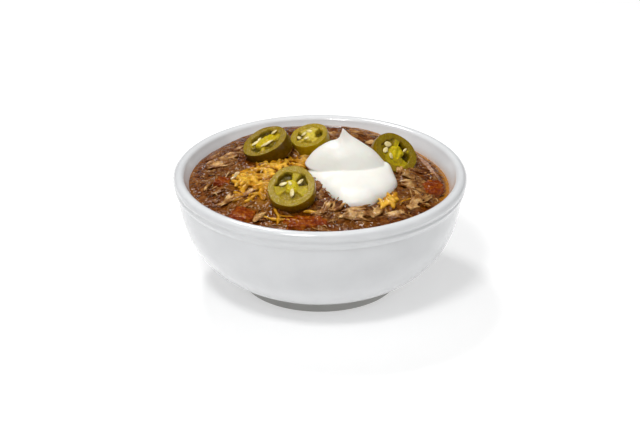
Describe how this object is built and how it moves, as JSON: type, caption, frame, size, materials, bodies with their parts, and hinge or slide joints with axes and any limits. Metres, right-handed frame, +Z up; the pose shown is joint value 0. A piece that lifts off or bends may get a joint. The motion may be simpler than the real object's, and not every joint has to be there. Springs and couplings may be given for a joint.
{
  "type": "bowl of chili con carne",
  "caption": "Round white china bowl on a foot ring, filled with shredded-beef chili and topped with sour cream, pickled jalapeno slices, diced tomato and melted cheese.",
  "frame": {"origin": "middle of the foot ring's underside, on the surface that the bowl stands on", "axes": "+Z up out of the bowl; -Y towards the front of the serving, the side that the sour cream's lower fold faces; +X to the right seen from the front"},
  "size_m": [0.152, 0.152, 0.0844],
  "materials": {
    "china": "white glazed china, glossy",
    "chili": "brown-red sauce and shredded beef, wet",
    "sour_cream": "warm white cream, satin",
    "jalapeno": "olive green pickled pepper, wet",
    "tomato": "dark red cooked tomato, wet",
    "melted_cheese": "orange-yellow melted cheese, oily gloss"
  },
  "bodies": {
    "root": {"bowl": "china", "chili": "chili", "sour_cream": "sour_cream", "jalapeno_1": "jalapeno", "jalapeno_2": "jalapeno", "jalapeno_3": "jalapeno", "jalapeno_4": "jalapeno", "tomato_1": "tomato", "tomato_2": "tomato", "tomato_3": "tomato", "tomato_4": "tomato", "melted_cheese_1": "melted_cheese", "melted_cheese_2": "melted_cheese"}
  },
  "joints": []
}
